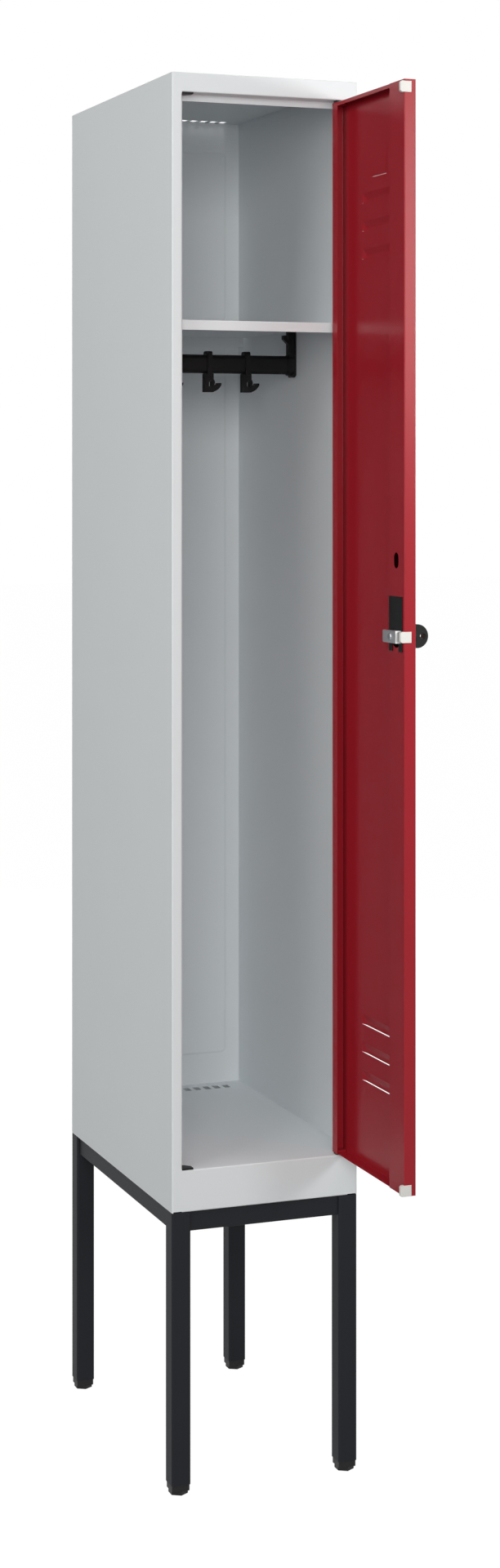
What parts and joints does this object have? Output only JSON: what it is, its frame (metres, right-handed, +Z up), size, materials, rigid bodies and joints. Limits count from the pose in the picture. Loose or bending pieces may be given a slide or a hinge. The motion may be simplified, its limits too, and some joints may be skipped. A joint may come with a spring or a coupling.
{
  "type": "clothes locker on stand",
  "caption": "Tall narrow single-door steel clothes locker on a leg stand, door open, with hat shelf, coat rail, sliding hooks and a padlock turn knob.",
  "frame": {"origin": "on the floor under the middle of the cabinet", "axes": "+X towards the hinge side, +Y to the back, +Z up"},
  "size_m": [0.3118, 0.7497, 2.122],
  "materials": {
    "cabinet_paint": "light grey powder coat, fine texture",
    "door_paint": "ruby red powder coat, fine texture",
    "stand_paint": "anthracite powder coat",
    "black_plastic": "moulded, fine grain",
    "foot_plastic": "moulded",
    "bumper_plastic": "soft moulded",
    "fork_paint": "black",
    "cam_chrome": "bright nickel plated",
    "zinc_steel": "zinc plated"
  },
  "bodies": {
    "cabinet": {"left_side_panel": "cabinet_paint", "right_side_panel": "cabinet_paint", "roof_panel": "cabinet_paint", "floor_panel": "cabinet_paint", "back_panel": "cabinet_paint", "hat_shelf": "cabinet_paint", "coat_rail": "black_plastic", "rail_bracket_left": "black_plastic", "rail_bracket_right": "black_plastic", "hinge_bush_upper": "black_plastic", "hinge_bush_lower": "black_plastic", "blank_bush_upper": "black_plastic", "blank_bush_lower": "black_plastic", "leg_front_left": "stand_paint", "leg_front_right": "stand_paint", "leg_rear_left": "stand_paint", "leg_rear_right": "stand_paint", "leg_insert_front_left": "foot_plastic", "leg_insert_front_right": "foot_plastic", "leg_insert_rear_left": "foot_plastic", "leg_insert_rear_right": "foot_plastic", "stand_rail_front": "stand_paint", "stand_rail_rear": "stand_paint", "stand_rail_left": "stand_paint", "stand_rail_right": "stand_paint", "stand_bolts": "zinc_steel", "stand_nuts": "zinc_steel"},
    "door": {"door_leaf": "door_paint", "hinge_pin_upper": "zinc_steel", "hinge_pin_lower": "zinc_steel", "door_bumper_upper": "bumper_plastic", "door_bumper_middle": "bumper_plastic", "door_bumper_lower": "bumper_plastic", "lock_body": "black_plastic", "lock_fork_plate": "fork_paint"},
    "lock": {"lock_knob": "black_plastic", "lock_spindle": "zinc_steel", "latch_cam": "cam_chrome", "cam_screw": "zinc_steel"},
    "hook_1": {"coat_hook_1": "black_plastic"},
    "hook_2": {"coat_hook_2": "black_plastic"},
    "hook_3": {"coat_hook_3": "black_plastic"},
    "foot_front_left": {"foot_front_left": "foot_plastic"},
    "foot_front_right": {"foot_front_right": "foot_plastic"},
    "foot_rear_left": {"foot_rear_left": "foot_plastic"},
    "foot_rear_right": {"foot_rear_right": "foot_plastic"}
  },
  "joints": [
    {"name": "door_hinge", "type": "hinge", "parent": "cabinet", "child": "door", "pos_m": [0.12485, -0.24185, 1.2], "axis": [0, 0, 1], "range_deg": [-90, 5]},
    {"name": "lock_turn", "type": "hinge", "parent": "door", "child": "lock", "pos_m": [0.133, -0.4707, 1.2887], "axis": [1, 0, 0], "range_deg": [0, 180]},
    {"name": "hook_1_slide", "type": "slide", "parent": "cabinet", "child": "hook_1", "axis": [1, 0, 0], "range_m": [-0.06, 0.018]},
    {"name": "hook_2_slide", "type": "slide", "parent": "cabinet", "child": "hook_2", "axis": [1, 0, 0], "range_m": [-0.018, 0.018]},
    {"name": "hook_3_slide", "type": "slide", "parent": "cabinet", "child": "hook_3", "axis": [1, 0, 0], "range_m": [-0.018, 0.06]},
    {"name": "foot_front_left_level", "type": "slide", "parent": "cabinet", "child": "foot_front_left", "axis": [0, 0, 1], "range_m": [-0.012, 0]},
    {"name": "foot_front_right_level", "type": "slide", "parent": "cabinet", "child": "foot_front_right", "axis": [0, 0, 1], "range_m": [-0.012, 0]},
    {"name": "foot_rear_left_level", "type": "slide", "parent": "cabinet", "child": "foot_rear_left", "axis": [0, 0, 1], "range_m": [-0.012, 0]},
    {"name": "foot_rear_right_level", "type": "slide", "parent": "cabinet", "child": "foot_rear_right", "axis": [0, 0, 1], "range_m": [-0.012, 0]}
  ]
}
